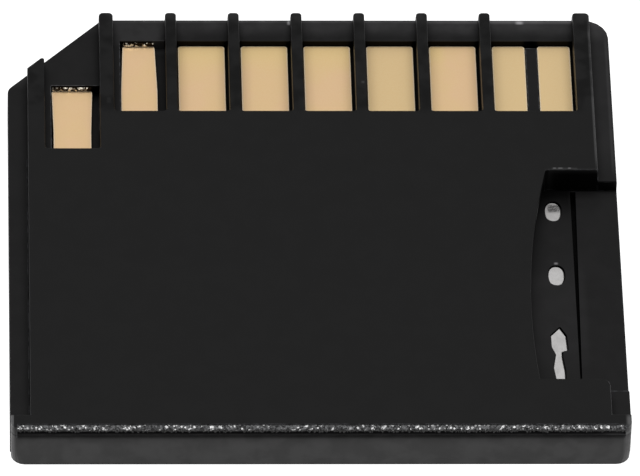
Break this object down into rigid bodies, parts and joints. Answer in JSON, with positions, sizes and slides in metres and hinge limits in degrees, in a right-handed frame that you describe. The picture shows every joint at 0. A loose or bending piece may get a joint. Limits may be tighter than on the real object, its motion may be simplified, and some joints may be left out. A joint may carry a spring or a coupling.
{
  "type": "memory card adapter",
  "caption": "Short black adapter that takes a small memory card from its side and plugs in as a full-size card, with gold contact pads between ribs",
  "frame": {"origin": "middle of the label face, which the adapter lies on", "axes": "+Z out of the contact face, +Y to the leading edge with the contact pads, +X to the side that the small card goes in from"},
  "size_m": [0.024, 0.0232, 0.0021],
  "materials": {
    "shell_black": "fine matte moulded plastic",
    "contact_gold": "gold-plated stamped metal",
    "spring_steel": "plain sheet steel"
  },
  "bodies": {
    "root": {"label_side_shell": "shell_black", "contact_side_shell": "shell_black", "contact_1": "contact_gold", "contact_2": "contact_gold", "contact_3": "contact_gold", "contact_4": "contact_gold", "contact_5": "contact_gold", "contact_6": "contact_gold", "contact_7": "contact_gold", "contact_8": "contact_gold", "contact_9": "contact_gold", "card_grip_spring": "spring_steel"}
  },
  "joints": []
}
